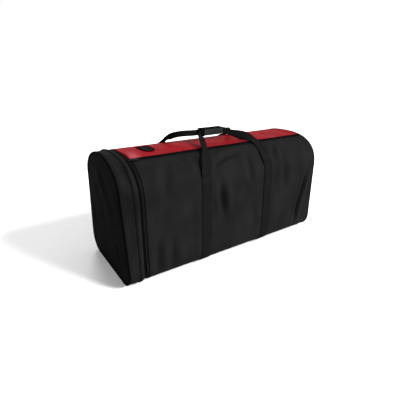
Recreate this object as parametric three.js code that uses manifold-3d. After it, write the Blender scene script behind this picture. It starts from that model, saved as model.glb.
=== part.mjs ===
// Hockey equipment bag: a soft duffel of coated fabric on two webbing straps, with a zipped lid along the top,
// a zipped pocket at the left end and two carrying handles that meet in a padded grip.
// Millimetres, +X along the bag's length, +Y towards its back, +Z up; origin at the centre of its footprint.
import * as THREE from "three";
import { mergeVertices } from "three/addons/utils/BufferGeometryUtils.js";
import Module from "manifold-3d";

const wasm = await Module();
wasm.setup();

// Driving dimensions
const LENGTH = 1000;
const WIDTH = 424;
const HEIGHT = 482; // crest of the lid above the bottom panel
const FABRIC = 3; // a coated fabric wall with its foam and lining
const GAP = 0.4; // clearance between neighbouring pieces
const BOTTOM_RADIUS = 68;
const BOTTOM_SEAM = 88.5; // where the walls meet the bottom panel, in degrees round each corner
const SHOULDER_START = 329; // height where the upright walls begin to curve in
const SHOULDER_POWER = 2.63; // exponent of the superellipse that forms both shoulders
const LEAN = 0.007; // how far each wall leans in per millimetre of height

const STRAP_WIDTH = 48;
const STRAP_THICK = 2.8;
const STRAP_CENTRES = { left: -148, right: 184 };
const ANCHOR_ANGLE = 18; // place on the shoulder where the webbing leaves the bag, in degrees
const FLOOR_CLEARANCE = STRAP_THICK + GAP; // the bag stands on its straps

const END = LENGTH / 2;
const PIPING_DEPTH = 5.4; // length of the piped edge along X
const PIPING_PROUD = 1;
const PIPING_INSET = 2.4; // depth of the piping inside the fabric's outer face
const PANEL_INSET = PIPING_INSET + 2 * GAP;
const PANEL_FACE = 2; // depth of each end panel's face inside the end of the bag
const PANEL_THICK = 2.5;
const DIVIDER_X = -416; // left edge of the main compartment
const END_ZIP_X = -430.6; // line where the end pocket parts
const ZIP_TAPE = 7.4; // width of each tape of the end zip
const GUSSET_RIGHT = END_ZIP_X - ZIP_TAPE - 2 * GAP;
const ZIP_SUNK = 3.2; // depth of the end zip below the fabric
const LID_ZIP_SUNK = 0.6; // depth of the lid zip below the fabric

// Shape of the left end, which is narrower at the top than the rest of the bag
const END_WIDTH = 429;
const END_HEIGHT = 490;
const END_RADIUS = 70;
const END_SHOULDER_START = 380;
const END_POWER = 1.85;
const END_LEAN = 0.109;

// The lid zip, given as places on the shoulder in degrees
const LID_ZIP_OUTER = 62.8;
const LID_ZIP_LINE = 65.4;
const LID_ZIP_INNER = 68;
const LID_BACK = 65.3;
const ANGLE_GAP = 0.13;

// Handles
const GRIP = { left: -40, right: 80, bottom: 508, top: 540, depth: 13, round: 7, waist: 1 };
const FOLDED_WIDTH = 28; // the webbing is folded in two before it reaches the grip
const FOLD = { from: 0.1, to: 0.5 }; // where the folding begins and ends, as shares of a leg's reach
const LEG_DRIFT = 1.4; // exponent that keeps a leg near its strap before it turns to the grip
const BAR_THICK = 3.2;
const BAR_ENDS = 9; // how far the bar stands out of each end of the grip
const BAR_OFFSET = 1.4; // gap between the middle plane and each handle's bar
const HANDLE_ROUTE = [
  [-203.9, 397.6],
  [-196, 428],
  [-173, 456],
  [-142, 475],
  [-108, 490],
  [-60, 504],
  [-BAR_OFFSET - BAR_THICK / 2, 522],
];

// Zip sliders and pullers
const SLIDER = { length: 24, width: 8.6, height: 4, nose: 5, waist: 0.3 };
const PULLER = { length: 36, width: 7.4, thick: 1.8, hole: 1.6, neck: 0.7, shoulder: 0.3 };
const PULLER_SEAT = 4; // distance from a slider's nose to the puller's pivot
const MAIN_SLIDER_X = -398;
const END_SLIDER_Z = 96;

const BODY = {
  half: WIDTH / 2,
  top: HEIGHT,
  radius: BOTTOM_RADIUS,
  start: SHOULDER_START,
  power: SHOULDER_POWER,
  lean: LEAN,
};
const LEFT_END = {
  half: END_WIDTH / 2,
  top: END_HEIGHT,
  radius: END_RADIUS,
  start: END_SHOULDER_START,
  power: END_POWER,
  lean: END_LEAN,
};

const COLOURS = {
  shell: ["#25262a", 0.82, 0],
  gusset: ["#202125", 0.82, 0],
  lid: ["#7c1c24", 0.7, 0],
  lining: ["#3b3d42", 0.9, 0],
  webbing: ["#16171a", 0.78, 0],
  board: ["#4a4b4e", 0.6, 0],
  zip: ["#0d0d0f", 0.6, 0],
  metal: ["#2a2a2d", 0.35, 0.9],
  grip: ["#2f3034", 0.85, 0],
};

const bag = new THREE.Group();

// One named sub-part with its own material.
function addPart(name, look, geometry) {
  const [color, roughness, metalness] = COLOURS[look];
  const mesh = new THREE.Mesh(
    geometry,
    new THREE.MeshStandardMaterial({ color, roughness, metalness }),
  );
  mesh.name = name;
  bag.add(mesh);
  return mesh;
}

// --- The cross-section, in (Y, Z). Side is -1 for the front and +1 for the back; grow is an outward offset.

function shoulderPoint(section, side, degrees, grow) {
  const angle = THREE.MathUtils.degToRad(degrees);
  const foot = section.half - section.lean * section.start + grow;
  const rise = section.top - section.start + grow;
  const y = foot * Math.max(Math.cos(angle), 0) ** (2 / section.power);
  const z = section.start + rise * Math.sin(angle) ** (2 / section.power);
  return new THREE.Vector2(side * y, z + FLOOR_CLEARANCE);
}

function shoulder(section, side, from, to, grow, steps) {
  const points = [];
  for (let i = 0; i <= steps; i += 1) {
    const angle = from + ((to - from) * i) / steps;
    points.push(shoulderPoint(section, side, angle, grow));
  }
  return points;
}

// The rounded bottom corner between two angles, 0 at the wall and 90 at the flat bottom.
function corner(section, side, from, to, grow) {
  const points = [];
  const steps = 4;
  for (let i = 0; i <= steps; i += 1) {
    const angle = THREE.MathUtils.degToRad(from + ((to - from) * i) / steps);
    const reach = section.radius + grow;
    const y = section.half - section.radius + reach * Math.cos(angle);
    const z = section.radius - reach * Math.sin(angle);
    points.push(new THREE.Vector2(side * y, z + FLOOR_CLEARANCE));
  }
  return points;
}

// A side wall: round the bottom corner and up to a place on the shoulder.
function sidePath(section, side, top, grow, bottom = BOTTOM_SEAM) {
  const low = corner(section, side, bottom, 0, grow);
  return [...low, ...shoulder(section, side, 0, top, grow, 10)];
}

// The arch from the front bottom seam over the top to the back one.
function archPath(section, grow) {
  const front = sidePath(section, -1, 90, grow);
  const back = sidePath(section, 1, 90, grow).slice(0, -1);
  return [...front, ...back.reverse()];
}

// The lid's arc between two places on the front and back shoulders.
function lidPath(front, back, grow) {
  const rising = shoulder(BODY, -1, front, 90, grow, 8).slice(0, -1);
  const falling = shoulder(BODY, 1, 90, back, grow, 8);
  return [...rising, ...falling];
}

// The whole outline of an end panel.
function endOutline(section, grow) {
  const front = corner(section, -1, 90, 0, grow);
  const back = corner(section, 1, 0, 90, grow);
  const rising = shoulder(section, -1, 0, 90, grow, 10).slice(0, -1);
  const falling = shoulder(section, 1, 90, 0, grow, 10);
  return [...front, ...rising, ...falling, ...back];
}

// --- Solids

const X_AXIS = new THREE.Vector3(1, 0, 0);
const Y_AXIS = new THREE.Vector3(0, 1, 0);
const Z_AXIS = new THREE.Vector3(0, 0, 1);

// Extrudes a (Y, Z) shape along X from one place to another.
function extruded(shape, from, to, steps = 1) {
  const options = { depth: to - from, steps, bevelEnabled: false };
  const geometry = new THREE.ExtrudeGeometry(shape, options);
  geometry.applyMatrix4(new THREE.Matrix4().makeBasis(Y_AXIS, Z_AXIS, X_AXIS));
  geometry.translate(from, 0, 0);
  return geometry;
}

function alongX(outline, from, to, steps = 1) {
  return extruded(new THREE.Shape(outline), from, to, steps);
}

// A wall that follows a path between an outer and an inner offset.
function wallOutline(path, outer, inner) {
  return [...path(outer), ...path(inner).reverse()];
}

// Bends an extrusion so that its left end takes the left end's outline and its right end keeps the body's.
function tapered(bodyOutline, endOutlinePoints, from, to, steps = 4) {
  const geometry = alongX(bodyOutline, from, to, steps);
  const position = geometry.attributes.position;
  for (let i = 0; i < position.count; i += 1) {
    const here = new THREE.Vector2(position.getY(i), position.getZ(i));
    const index = bodyOutline.findIndex((p) => p.distanceTo(here) < 1e-3);
    const reach = (GUSSET_RIGHT - position.getX(i)) / (GUSSET_RIGHT + END);
    const place = here.clone().lerp(endOutlinePoints[index], THREE.MathUtils.clamp(reach, 0, 1));
    position.setY(i, place.x);
    position.setZ(i, place.y);
  }
  geometry.computeVertexNormals();
  return geometry;
}

function manifoldOf(geometry) {
  const plain = geometry.index ? geometry.toNonIndexed() : geometry.clone();
  plain.deleteAttribute("normal");
  plain.deleteAttribute("uv");
  const merged = mergeVertices(plain, 1e-3);
  const mesh = new wasm.Mesh({
    numProp: 3,
    vertProperties: merged.attributes.position.array,
    triVerts: new Uint32Array(merged.index.array),
  });
  return new wasm.Manifold(mesh);
}

function geometryOf(solid) {
  const mesh = solid.getMesh();
  const geometry = new THREE.BufferGeometry();
  const position = new THREE.BufferAttribute(mesh.vertProperties, mesh.numProp);
  geometry.setAttribute("position", position);
  geometry.setIndex(new THREE.BufferAttribute(mesh.triVerts, 1));
  geometry.computeVertexNormals();
  return geometry;
}

function joined(...geometries) {
  const solids = geometries.map(manifoldOf);
  const whole = solids.slice(1).reduce((sum, solid) => sum.add(solid), solids[0]);
  return geometryOf(whole);
}

function block(x, y, z) {
  const geometry = new THREE.BoxGeometry(x[1] - x[0], y[1] - y[0], z[1] - z[0]);
  const centre = [x, y, z].map(([low, high]) => (low + high) / 2);
  return geometry.translate(...centre);
}

// --- Shell of the main compartment

const RIGHT_EDGE = END - PIPING_DEPTH - GAP;
const BOTTOM_LEFT = -END + PIPING_DEPTH + 2 * GAP;

const bottomHalf = WIDTH / 2 - BOTTOM_RADIUS + 3 * GAP;
addPart(
  "bottom_panel",
  "shell",
  block(
    [BOTTOM_LEFT, RIGHT_EDGE],
    [-bottomHalf, bottomHalf],
    [FLOOR_CLEARANCE, FLOOR_CLEARANCE + FABRIC],
  ),
);

for (const [name, side, top] of [
  ["front_panel", -1, LID_ZIP_OUTER - ANGLE_GAP],
  ["back_panel", 1, LID_BACK - ANGLE_GAP],
]) {
  const outline = wallOutline((grow) => sidePath(BODY, side, top, grow), 0, -FABRIC);
  addPart(name, "shell", alongX(outline, DIVIDER_X, RIGHT_EDGE));
}

const INNER = -FABRIC - GAP;
addPart(
  "divider_panel",
  "lining",
  alongX(endOutline(BODY, INNER), DIVIDER_X, DIVIDER_X + FABRIC),
);
addPart(
  "right_end_panel",
  "shell",
  alongX(endOutline(BODY, -PANEL_INSET), END - PANEL_FACE - PANEL_THICK, END - PANEL_FACE),
);

const rightPiping = new THREE.Shape(endOutline(BODY, PIPING_PROUD));
rightPiping.holes.push(new THREE.Path(endOutline(BODY, -PIPING_INSET).reverse()));
addPart("right_piping", "zip", extruded(rightPiping, END - PIPING_DEPTH, END));

const BOARD = { thick: 4, margin: 12, half: 126 };
const boardFloor = FLOOR_CLEARANCE + FABRIC + GAP;
addPart(
  "base_board",
  "board",
  block(
    [DIVIDER_X + FABRIC + BOARD.margin, END - PANEL_FACE - PANEL_THICK - BOARD.margin],
    [-BOARD.half, BOARD.half],
    [boardFloor, boardFloor + BOARD.thick],
  ),
);

// --- Webbing straps, which run under the bag from one handle anchor to the other

function strapPath(grow) {
  const front = sidePath(BODY, -1, ANCHOR_ANGLE, grow, 90).reverse();
  const back = sidePath(BODY, 1, ANCHOR_ANGLE, grow, 90);
  return [...front, ...back];
}

for (const [side, centre] of Object.entries(STRAP_CENTRES)) {
  const outline = wallOutline(strapPath, FLOOR_CLEARANCE, GAP);
  const from = centre - STRAP_WIDTH / 2;
  addPart(side + "_strap", "webbing", alongX(outline, from, from + STRAP_WIDTH));
}

// --- Lid with its half of the zip

addPart(
  "top_panel",
  "lid",
  alongX(
    wallOutline((grow) => lidPath(LID_ZIP_INNER + ANGLE_GAP, LID_BACK, grow), 0, -FABRIC),
    DIVIDER_X + GAP,
    RIGHT_EDGE - GAP,
  ),
);

function zipStrip(from, to) {
  const outline = wallOutline((grow) => shoulder(BODY, -1, from, to, grow, 2), -LID_ZIP_SUNK, -FABRIC);
  return alongX(outline, DIVIDER_X + GAP, RIGHT_EDGE - GAP);
}
addPart("lid_zip_tape", "zip", zipStrip(LID_ZIP_LINE + ANGLE_GAP, LID_ZIP_INNER));
addPart("main_zip_tape", "zip", zipStrip(LID_ZIP_OUTER, LID_ZIP_LINE));

// A tongue-shaped patch stitched on top of the lid near its left end.
const PATCH = { left: -328, right: -280, front: -46, back: 38, thick: 1.6 };
const patchRadius = (PATCH.right - PATCH.left) / 2;
const patchShape = new THREE.Shape();
patchShape.moveTo(PATCH.right, PATCH.back);
patchShape.lineTo(PATCH.left, PATCH.back);
patchShape.lineTo(PATCH.left, PATCH.front + patchRadius);
patchShape.absarc(
  PATCH.left + patchRadius,
  PATCH.front + patchRadius,
  patchRadius,
  Math.PI,
  2 * Math.PI,
);
const patchOptions = { depth: PATCH.thick, bevelEnabled: false, curveSegments: 8 };
const patch = new THREE.ExtrudeGeometry(patchShape, patchOptions);
patch.translate(0, 0, HEIGHT + FLOOR_CLEARANCE + GAP);
addPart("lid_patch", "webbing", patch);

// --- End pocket: a hoop that stays with the bag, and the cap that folds down from it

const sunk = wallOutline((grow) => archPath(BODY, grow), -ZIP_SUNK, -ZIP_SUNK - FABRIC);
addPart("end_zip_hoop", "zip", alongX(sunk, END_ZIP_X + GAP, DIVIDER_X - GAP));
addPart("cap_zip_tape", "zip", alongX(sunk, END_ZIP_X - ZIP_TAPE, END_ZIP_X));

const gussetBody = wallOutline((grow) => archPath(BODY, grow), 0, -FABRIC);
const gussetEnd = wallOutline((grow) => archPath(LEFT_END, grow), 0, -FABRIC);
const gussetLeft = -END + PIPING_DEPTH + GAP;
addPart("end_gusset", "gusset", tapered(gussetBody, gussetEnd, gussetLeft, GUSSET_RIGHT));

const pipingBody = wallOutline((grow) => archPath(LEFT_END, grow), PIPING_PROUD, -PIPING_INSET);
addPart("end_piping", "zip", alongX(pipingBody, -END, -END + PIPING_DEPTH));
addPart(
  "end_panel",
  "gusset",
  alongX(endOutline(LEFT_END, -PANEL_INSET), -END + PANEL_FACE, -END + PANEL_FACE + PANEL_THICK),
);

// --- Handles: each is one webbing whose two legs slant in to a bar, with its half of the padded grip

function ribbonOutline(route, thick) {
  const curve = new THREE.SplineCurve(route.map(([y, z]) => new THREE.Vector2(y, z)));
  const steps = 18;
  const outer = [];
  const inner = [];
  for (let i = 0; i <= steps; i += 1) {
    const point = curve.getPoint(i / steps);
    const along = curve.getTangent(i / steps);
    const normal = new THREE.Vector2(-along.y, along.x).multiplyScalar(thick / 2);
    outer.push(point.clone().add(normal));
    inner.push(point.clone().sub(normal));
  }
  return [...outer, ...inner.reverse()];
}

// A leg that starts over its strap, narrows as its webbing folds and drifts along X to reach the bar.
function handleLeg(startCentre, endCentre) {
  const outline = ribbonOutline(HANDLE_ROUTE, STRAP_THICK);
  const leg = alongX(outline.reverse(), startCentre - STRAP_WIDTH / 2, startCentre + STRAP_WIDTH / 2);
  const position = leg.attributes.position;
  const reach = -HANDLE_ROUTE[0][0];
  for (let i = 0; i < position.count; i += 1) {
    const travel = THREE.MathUtils.clamp(1 + position.getY(i) / reach, 0, 1);
    const folded = THREE.MathUtils.smoothstep(travel, FOLD.from, FOLD.to);
    const narrowing = THREE.MathUtils.lerp(1, FOLDED_WIDTH / STRAP_WIDTH, folded);
    const centre = startCentre + (endCentre - startCentre) * travel ** LEG_DRIFT;
    position.setX(i, centre + (position.getX(i) - startCentre) * narrowing);
  }
  return leg;
}

function gripHalf() {
  const back = -BAR_OFFSET - BAR_THICK - GAP;
  const front = -GRIP.depth;
  const middle = (GRIP.bottom + GRIP.top) / 2;
  const round = GRIP.round;
  const shape = new THREE.Shape();
  shape.moveTo(back, GRIP.bottom);
  shape.lineTo(back, GRIP.top);
  shape.lineTo(front + round / 2, GRIP.top);
  shape.quadraticCurveTo(front, GRIP.top, front, GRIP.top - round);
  shape.lineTo(front - GRIP.waist, middle);
  shape.lineTo(front, GRIP.bottom + round);
  shape.quadraticCurveTo(front, GRIP.bottom, front + round / 2, GRIP.bottom);
  return alongX(shape.getPoints(4), GRIP.left, GRIP.right);
}

const halfFolded = FOLDED_WIDTH / 2;
const bar = block(
  [GRIP.left - BAR_ENDS, GRIP.right + BAR_ENDS],
  [-BAR_OFFSET - BAR_THICK, -BAR_OFFSET],
  [GRIP.bottom, GRIP.top],
);
const frontHandle = joined(
  handleLeg(STRAP_CENTRES.left, GRIP.left - halfFolded - 2 * GAP),
  handleLeg(STRAP_CENTRES.right, GRIP.right + halfFolded + 2 * GAP),
  bar,
);

// A copy on the other side of the middle plane, with its faces turned back outwards.
function mirrored(geometry) {
  const copy = geometry.index ? geometry.toNonIndexed() : geometry.clone();
  copy.scale(1, -1, 1);
  const position = copy.attributes.position;
  for (let i = 0; i < position.count; i += 3) {
    const held = new THREE.Vector3().fromBufferAttribute(position, i + 1);
    const next = new THREE.Vector3().fromBufferAttribute(position, i + 2);
    position.setXYZ(i + 1, ...next);
    position.setXYZ(i + 2, ...held);
  }
  copy.computeVertexNormals();
  return copy;
}

addPart("front_handle", "webbing", frontHandle);
addPart("front_grip", "grip", gripHalf());
addPart("back_handle", "webbing", mirrored(frontHandle));
addPart("back_grip", "grip", mirrored(gripHalf()));

// --- Zip sliders and pullers

// A slider body that runs along X with a bridge on top for its puller, resting on Z = 0.
function sliderBody() {
  const half = SLIDER.length / 2;
  const shape = new THREE.Shape();
  shape.moveTo(-half, -SLIDER.width * SLIDER.waist);
  shape.lineTo(half - SLIDER.nose, -SLIDER.width / 2);
  shape.quadraticCurveTo(half, -SLIDER.width / 2, half, 0);
  shape.quadraticCurveTo(half, SLIDER.width / 2, half - SLIDER.nose, SLIDER.width / 2);
  shape.lineTo(-half, SLIDER.width * SLIDER.waist);
  const options = { depth: SLIDER.height, bevelEnabled: false, curveSegments: 4 };
  return new THREE.ExtrudeGeometry(shape, options);
}

// A flat puller with an eye, lying along -X from its pivot at the origin.
function pullerPlate() {
  const shape = new THREE.Shape();
  const half = PULLER.width / 2;
  shape.moveTo(0, -half * PULLER.neck);
  shape.lineTo(0, half * PULLER.neck);
  shape.lineTo(-PULLER.length * PULLER.shoulder, half);
  shape.lineTo(-PULLER.length + half, half);
  shape.absarc(-PULLER.length + half, 0, half, Math.PI / 2, (3 * Math.PI) / 2);
  shape.lineTo(-PULLER.length * PULLER.shoulder, -half);
  const eye = new THREE.Path();
  eye.absarc(-PULLER.length + half, 0, PULLER.hole, 0, 2 * Math.PI, true);
  shape.holes.push(eye);
  const options = { depth: PULLER.thick, bevelEnabled: false, curveSegments: 6 };
  return new THREE.ExtrudeGeometry(shape, options);
}

const mainAngle = (LID_ZIP_OUTER + LID_ZIP_LINE) / 2 - 0.4;
const mainSeat = shoulderPoint(BODY, -1, mainAngle, 0);
const mainAbove = shoulderPoint(BODY, -1, mainAngle + 2, 0);
const mainTilt = Math.atan2(mainAbove.y - mainSeat.y, mainAbove.x - mainSeat.x);
const pullerRise = SLIDER.height + GAP;

function placeMain(mesh, along, rise) {
  mesh.rotation.set(mainTilt, 0, 0);
  const lift = new THREE.Vector3(0, 0, rise + GAP).applyEuler(mesh.rotation);
  mesh.position.set(MAIN_SLIDER_X + along, mainSeat.x + lift.y, mainSeat.y + lift.z);
}
placeMain(addPart("main_slider", "metal", sliderBody()), 0, 0);
placeMain(addPart("main_puller", "metal", pullerPlate()), SLIDER.length / 2 - PULLER_SEAT, pullerRise);

// The end slider rides on the hoop of the front wall, with its puller hanging below it.
const endSliderX = (END_ZIP_X + DIVIDER_X) / 2;
const endSliderY = -WIDTH / 2 + LEAN * END_SLIDER_Z + ZIP_SUNK - GAP;
const upright = new THREE.Euler().setFromRotationMatrix(
  new THREE.Matrix4().makeBasis(Z_AXIS, X_AXIS, Y_AXIS),
);
function placeEnd(mesh, depth, up) {
  mesh.rotation.copy(upright);
  mesh.position.set(endSliderX, endSliderY - depth, END_SLIDER_Z + up);
}
const endSlider = sliderBody().translate(0, 0, -SLIDER.height);
const endPuller = pullerPlate().translate(0, 0, -PULLER.thick);
placeEnd(addPart("end_slider", "metal", endSlider), GAP, 0);
placeEnd(addPart("end_puller", "metal", endPuller), GAP + pullerRise, SLIDER.length / 2 - PULLER_SEAT);

export default bag;
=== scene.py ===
"""Looks of a soft hockey equipment bag: coated shell, zipped lid and end pocket, webbing, padded grip.

Metres; +X runs along the bag, +Y towards its back and +Z up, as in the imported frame.
"""

import bisect
import math

import bmesh
import bpy
from bpy.props import FloatProperty, FloatVectorProperty, PointerProperty
from mathutils import Matrix, Vector, noise


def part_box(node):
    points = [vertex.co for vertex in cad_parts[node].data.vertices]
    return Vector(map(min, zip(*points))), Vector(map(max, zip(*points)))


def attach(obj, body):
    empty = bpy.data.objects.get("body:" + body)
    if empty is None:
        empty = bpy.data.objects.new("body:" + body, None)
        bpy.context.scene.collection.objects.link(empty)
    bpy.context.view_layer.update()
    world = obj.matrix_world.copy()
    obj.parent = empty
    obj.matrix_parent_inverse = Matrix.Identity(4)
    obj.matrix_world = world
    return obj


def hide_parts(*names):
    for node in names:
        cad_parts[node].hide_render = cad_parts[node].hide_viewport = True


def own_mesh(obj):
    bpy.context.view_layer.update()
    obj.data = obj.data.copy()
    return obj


bl_info = {
    "name": "Hockey equipment bag",
    "version": (1, 0, 0),
    "blender": (4, 5, 0),
    "location": "3D View > Sidebar > Equipment Bag",
    "description": "Fabric, webbing, zips and stitching of a soft bag round its fixed frame",
    "category": "Object",
}

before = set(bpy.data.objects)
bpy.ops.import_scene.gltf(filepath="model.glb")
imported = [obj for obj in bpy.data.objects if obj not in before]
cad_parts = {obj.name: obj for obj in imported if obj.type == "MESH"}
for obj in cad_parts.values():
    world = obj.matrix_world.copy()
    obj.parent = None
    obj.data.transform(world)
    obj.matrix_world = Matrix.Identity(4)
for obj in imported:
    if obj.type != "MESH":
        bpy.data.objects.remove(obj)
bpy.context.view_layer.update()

# --- Places taken from the frame
BODY_LEFT, BODY_RIGHT = (corner.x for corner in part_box("front_panel"))
LEFT_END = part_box("end_piping")[0].x
RIGHT_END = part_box("right_piping")[1].x
GUSSET_LEFT, GUSSET_RIGHT = (corner.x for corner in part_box("end_gusset"))
CAP_TAPE_LEFT, PARTING = (corner.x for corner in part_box("cap_zip_tape"))
HOOP_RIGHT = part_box("end_zip_hoop")[1].x
STRAPS = [sum(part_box(node), Vector()).x / 2 for node in ("left_strap", "right_strap")]
STRAP_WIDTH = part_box("left_strap")[1].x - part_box("left_strap")[0].x
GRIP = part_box("front_grip")
FLAP_RIGHT = GUSSET_RIGHT + 0.0018  # the band over the end pocket's zip
FLAP_LEFT = FLAP_RIGHT - 0.018
FACING_LEFT = PARTING + 0.0068  # the fabric between that zip and the body

UP = Vector((0, 0, 1))

# --- Small distances
SAME = 1e-6  # points this close are one point
TINY = 1e-9
STRAP_GAP = 0.0003  # between the body's fabric and a strap
STITCH_OUT = 0.0003  # how far a stitch stands out of the fabric
STITCH = (0.0034, 0.0008, 0.0007)  # length, width and height, as of the zips' teeth
MAIN_TOOTH = (0.0034, 0.0019, 0.0016)
POCKET_TOOTH = (0.0032, 0.0019, 0.0016)
TAPE = 0.0010  # thickness of the zips' tapes and the facing

# --- Cross-sections of the body and of the left end
CLEARANCE = 0.0032  # from the ground to the body's underside
BODY_SHAPE = {"half": 0.212, "top": 0.482, "radius": 0.068, "start": 0.329, "power": 2.63, "lean": 0.007}
END_SHAPE = {"half": 0.2145, "top": 0.490, "radius": 0.070, "start": 0.380, "power": 1.85, "lean": 0.109}
BOTTOM_SEAM = 88.5  # degrees round the bottom corner, downwards
ANCHOR_ANGLE = 18.0  # degrees round the shoulder, upwards, as are those below
ZIP_OUTER = 62.8
ZIP_LINE = 65.4
ZIP_INNER = 68.0
LID_BACK = 65.3
CORNER_STEPS = 14
WALL_STEPS = 12
SHOULDER_STEPS = 60
CROWDING = 1.3  # above 1, the shoulder's points crowd towards its two ends
LOOP_STEPS = 240
NORMAL_REACH = 0.004  # how far to each side a line is read for its direction


def between(first, last, part):
    """A point part of the way from one point in a plane to another."""
    return first[0] + (last[0] - first[0]) * part, first[1] + (last[1] - first[1]) * part


def corner_point(shape, degrees):
    angle = math.radians(degrees)
    centre = shape["half"] - shape["radius"]
    y = centre + shape["radius"] * math.cos(angle)
    z = shape["radius"] * (1 - math.sin(angle)) + CLEARANCE
    return y, z


def shoulder_point(shape, degrees):
    angle = math.radians(degrees)
    foot = shape["half"] - shape["lean"] * shape["start"]
    rise = shape["top"] - shape["start"]
    y = foot * max(math.cos(angle), 0.0) ** (2 / shape["power"])
    z = shape["start"] + rise * math.sin(angle) ** (2 / shape["power"]) + CLEARANCE
    return y, z


def side_points(shape, top=90.0, bottom=BOTTOM_SEAM):
    """One wall from the bottom seam to a place on its shoulder, both given in degrees."""
    points = [corner_point(shape, bottom * (1 - i / CORNER_STEPS)) for i in range(CORNER_STEPS + 1)]
    low = points[-1]
    high = shoulder_point(shape, 0.0)
    points += [between(low, high, i / WALL_STEPS) for i in range(1, WALL_STEPS)]
    for i in range(SHOULDER_STEPS + 1):
        rising = (i / SHOULDER_STEPS) ** CROWDING
        falling = (1 - i / SHOULDER_STEPS) ** CROWDING
        points.append(shoulder_point(shape, top * rising / (rising + falling)))
    return points


def mirrored(points):
    return [(-y, z) for y, z in points]


class Profile:
    """A line in the (Y, Z) plane walked by distance, with the outside on its left."""

    def __init__(self, points):
        self.points = points
        self.marks = [0.0]
        for first, second in zip(points, points[1:]):
            self.marks.append(self.marks[-1] + math.dist(first, second))
        self.length = self.marks[-1]

    def at(self, distance):
        distance = min(max(distance, 0.0), self.length)
        index = min(max(bisect.bisect_right(self.marks, distance) - 1, 0), len(self.points) - 2)
        span = self.marks[index + 1] - self.marks[index]
        part = (distance - self.marks[index]) / span if span else 0.0
        return between(self.points[index], self.points[index + 1], part)

    def normal(self, distance):
        before = self.at(distance - NORMAL_REACH)
        after = self.at(distance + NORMAL_REACH)
        dy = after[0] - before[0]
        dz = after[1] - before[1]
        size = math.hypot(dy, dz) or 1.0
        return -dz / size, dy / size

    def place_of(self, point):
        """The distance along the line that lies nearest to a point."""
        best = (math.inf, 0.0)
        for index, (first, second) in enumerate(zip(self.points, self.points[1:])):
            span = self.marks[index + 1] - self.marks[index]
            if span < TINY:
                continue
            part = ((point[0] - first[0]) * (second[0] - first[0])
                    + (point[1] - first[1]) * (second[1] - first[1])) / span ** 2
            part = min(max(part, 0.0), 1.0)
            near = between(first, second, part)
            best = min(best, (math.dist(near, point), self.marks[index] + part * span))
        return best[1]


def arch(shape):
    """From the front bottom seam over the top to the back one."""
    side = side_points(shape)
    return mirrored(side) + side[-2::-1]


def loop(shape, inset=0.0):
    """The whole outline, from the front bottom seam over the top and back along the bottom."""
    points = arch(shape)
    front = points[0]
    back = points[-1]
    run = [(back[0] + (front[0] - back[0]) * i / 10, CLEARANCE) for i in range(1, 10)]
    profile = Profile(points + run + [front])
    moved = []
    for i in range(LOOP_STEPS + 1):
        distance = profile.length * i / LOOP_STEPS
        place = profile.at(distance)
        normal = profile.normal(distance) if 0 < i < LOOP_STEPS else (0.0, -1.0)
        moved.append((place[0] - normal[0] * inset, place[1] - normal[1] * inset))
    return Profile(moved)


BODY = Profile(arch(BODY_SHAPE))
END = Profile(arch(END_SHAPE))


def shoulder_mark(side, degrees):
    """The distance round the body, from its front bottom seam, of a place on a shoulder."""
    y, z = shoulder_point(BODY_SHAPE, degrees)
    return BODY.place_of((side * y, z))


FRONT_ANCHOR = shoulder_mark(-1, ANCHOR_ANGLE)
MARK_OUTER = shoulder_mark(-1, ZIP_OUTER)
MARK_LINE = shoulder_mark(-1, ZIP_LINE)
MARK_INNER = shoulder_mark(-1, ZIP_INNER)
MARK_BACK = shoulder_mark(1, LID_BACK)
RINGS = {}
RINGS_PER_METRE = 5000


def ring(x):
    """The cross-section at a place along the bag; it turns into the left end's over the gusset."""
    if x >= GUSSET_RIGHT:
        return BODY
    key = round(x * RINGS_PER_METRE)
    if key not in RINGS:
        reach = min((GUSSET_RIGHT - x) / (GUSSET_RIGHT - LEFT_END), 1.0)
        RINGS[key] = Profile([between(a, b, reach) for a, b in zip(BODY.points, END.points)])
    return RINGS[key]


# --- Folds and slack of the fabric

def smooth(low, high, value):
    """0 below low and 1 above high, smooth between them."""
    part = min(max((value - low) / (high - low), 0.0), 1.0)
    return part * part * (3 - 2 * part)


def bell(value, width):
    return math.exp(-((value / width) ** 2))


def waves(x, y, *layers):
    """Uneven slack: each layer is a height, how fast it varies with x and y, and its place in the noise."""
    return sum(high * noise.noise(Vector((x * fast, y * slow, seed))) for high, fast, slow, seed in layers)


class Fold:
    """A crease along a path of (x, distance round the bag) points, deepest in its middle, and its bank."""

    REACH = 5  # in widths of the crease, as the bank's place and width are
    BANK_PLACE = 2.1
    BANK_WIDTH = 1.2
    BANK_HEIGHT = 0.4  # as a share of the crease's depth

    def __init__(self, path, width, depth, fade):
        self.path = Profile(path)
        self.width = width
        self.depth = depth
        self.fade = fade
        xs = [p[0] for p in path]
        ys = [p[1] for p in path]
        reach = width * self.REACH
        self.low = (min(xs) - reach, min(ys) - reach)
        self.high = (max(xs) + reach, max(ys) + reach)

    def height(self, x, y):
        if not (self.low[0] < x < self.high[0] and self.low[1] < y < self.high[1]):
            return 0.0
        path = self.path
        along = path.place_of((x, y))
        near = path.at(along)
        aside = math.dist(near, (x, y))
        share = along / path.length
        strength = smooth(0.0, self.fade, share) * smooth(0.0, self.fade, 1 - share)
        groove = bell(aside, self.width)
        bank = bell(aside - self.BANK_PLACE * self.width, self.BANK_WIDTH * self.width)
        return self.depth * strength * (self.BANK_HEIGHT * bank - groove)


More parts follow.
